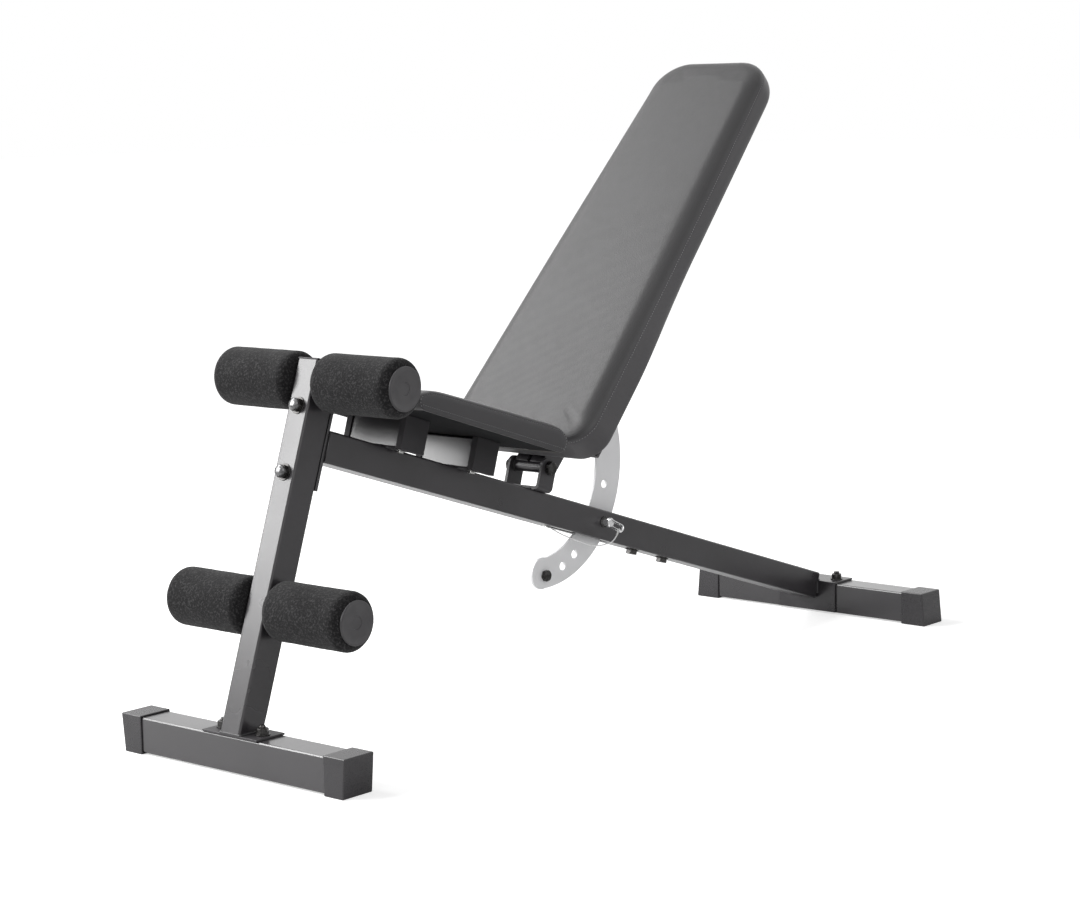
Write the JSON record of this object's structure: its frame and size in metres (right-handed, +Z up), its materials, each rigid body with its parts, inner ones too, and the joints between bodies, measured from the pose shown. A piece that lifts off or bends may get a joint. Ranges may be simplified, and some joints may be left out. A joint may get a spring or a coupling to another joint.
{
  "type": "adjustable weight bench",
  "caption": "Adjustable weight bench: sloping tube frame on two feet, fixed padded seat, reclining backrest locked by a pull pin through an arc plate, and foam leg rollers.",
  "frame": {"origin": "on the floor, at the middle of the bench's box, halfway between the two feet", "axes": "+X from the front foot (leg rollers) to the rear foot, +Z up, left side of a sitter is -Y"},
  "size_m": [1.403, 0.475, 0.9365],
  "materials": {
    "powder_coat": "satin charcoal powder coat",
    "black_plastic": "matt black moulded plastic",
    "grey_plastic": "mid grey moulded plastic",
    "foam": "speckled black closed-cell foam",
    "vinyl": "grey ribbed vinyl faces with smooth dark vinyl sides",
    "plywood": "plain plywood",
    "black_bolts": "black oxide",
    "zinc": "bright zinc plate",
    "grey_plate": "light grey satin paint",
    "chrome": "polished chrome",
    "nylon": "white nylon",
    "wire": "bright plastic-coated wire"
  },
  "bodies": {
    "frame_body": {"front_foot_tube": "powder_coat", "rear_foot_tube": "powder_coat", "front_post": "powder_coat", "post_base_plate": "powder_coat", "front_end_plate": "powder_coat", "upper_roller_tube": "powder_coat", "lower_roller_tube": "powder_coat", "main_tube": "powder_coat", "rear_tube": "powder_coat", "joint_sleeve": "powder_coat", "rear_bracket": "powder_coat", "front_cross_tube": "powder_coat", "rear_cross_tube": "powder_coat", "hinge_bracket": "powder_coat", "front_foot_cap_left": "black_plastic", "front_foot_cap_right": "black_plastic", "rear_foot_cap_left": "black_plastic", "rear_foot_cap_right": "black_plastic", "post_top_cap": "black_plastic", "cross_tube_caps": "black_plastic", "upper_end_plugs": "grey_plastic", "lower_end_plugs": "grey_plastic", "seat_pad": "vinyl", "seat_board": "plywood", "base_plate_bolts": "black_bolts", "end_plate_bolts": "black_bolts", "joint_bolts": "black_bolts", "rear_bracket_bolts": "black_bolts", "hinge_bolt": "black_bolts", "hinge_nut": "black_bolts", "pin_guides": "black_bolts", "seat_screws": "zinc", "hinge_washers": "nylon", "lanyard_anchor": "wire"},
    "backrest_body": {"hinge_tube": "powder_coat", "back_rail_left": "powder_coat", "back_rail_right": "powder_coat", "rail_end_caps": "black_plastic", "lower_back_strap": "powder_coat", "upper_back_strap": "powder_coat", "back_board": "plywood", "back_pad": "vinyl", "back_screws": "zinc", "arc_plate": "grey_plate", "stop_bolt": "black_bolts"},
    "lock_pin_body": {"lock_pin": "chrome", "pull_loop": "chrome", "lanyard_ferrule": "wire", "lanyard": "wire"},
    "upper_foam_left_body": {"upper_foam_left": "foam"},
    "upper_foam_right_body": {"upper_foam_right": "foam"},
    "lower_foam_left_body": {"lower_foam_left": "foam"},
    "lower_foam_right_body": {"lower_foam_right": "foam"}
  },
  "joints": [
    {"name": "backrest_tilt", "type": "hinge", "parent": "frame_body", "child": "backrest_body", "pos_m": [-0.06947, 0, 0.34131], "axis": [0, 1, 0], "range_deg": [-32.5, 64.5]},
    {"name": "lock_pin_pull", "type": "slide", "parent": "frame_body", "child": "lock_pin_body", "axis": [0, -1, 0], "range_m": [-0.008, 0.03], "deforming": ["lanyard"]},
    {"name": "upper_roller_left_spin", "type": "hinge", "parent": "frame_body", "child": "upper_foam_left_body", "pos_m": [-0.51652, 0, 0.51396], "axis": [0, 1, 0], "continuous": true},
    {"name": "upper_roller_right_spin", "type": "hinge", "parent": "frame_body", "child": "upper_foam_right_body", "pos_m": [-0.51652, 0, 0.51396], "axis": [0, 1, 0], "continuous": true},
    {"name": "lower_roller_left_spin", "type": "hinge", "parent": "frame_body", "child": "lower_foam_left_body", "pos_m": [-0.62061, 0, 0.21507], "axis": [0, 1, 0], "continuous": true},
    {"name": "lower_roller_right_spin", "type": "hinge", "parent": "frame_body", "child": "lower_foam_right_body", "pos_m": [-0.62061, 0, 0.21507], "axis": [0, 1, 0], "continuous": true}
  ]
}
